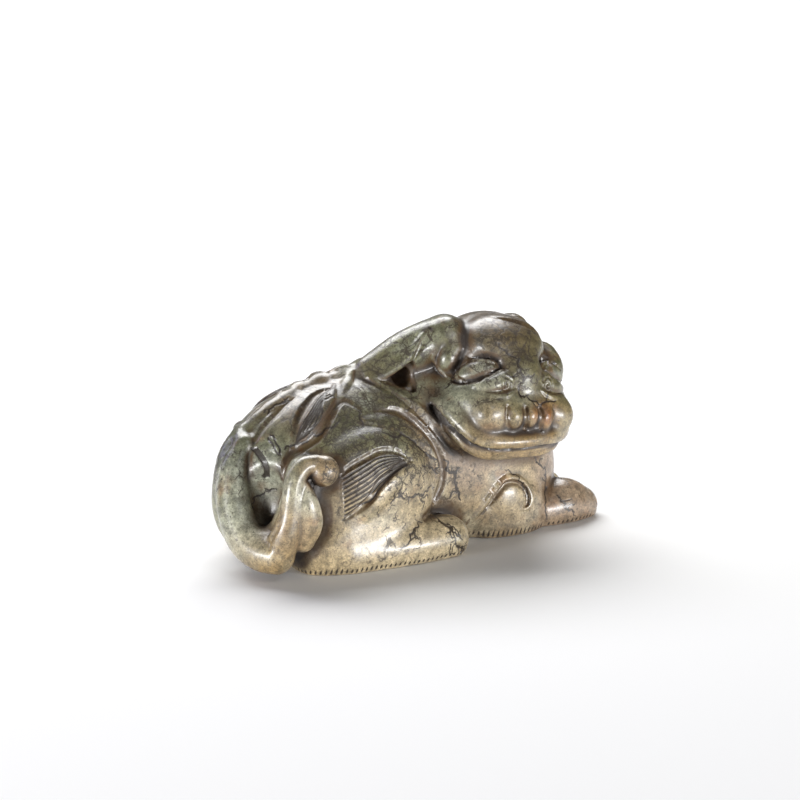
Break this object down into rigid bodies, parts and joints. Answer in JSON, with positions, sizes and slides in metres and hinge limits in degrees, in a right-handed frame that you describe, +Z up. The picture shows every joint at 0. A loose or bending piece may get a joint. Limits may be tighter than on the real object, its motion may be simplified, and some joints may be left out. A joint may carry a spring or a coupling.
{
  "type": "animal carving",
  "caption": "Recumbent lion carved in one piece of polished jade, head turned to its right side, paws forward, tail curled up over its haunch",
  "frame": {"origin": "bottom centre of the carving's box, on the plane that it rests on", "axes": "+X along the body to the front paws, -Y to the side that the head is turned to, +Z up"},
  "size_m": [0.0914, 0.0474, 0.0483],
  "materials": {
    "jade": "polished jade, mottled sage green to brown"
  },
  "bodies": {
    "root": {"jade_lion": "jade"}
  },
  "joints": []
}
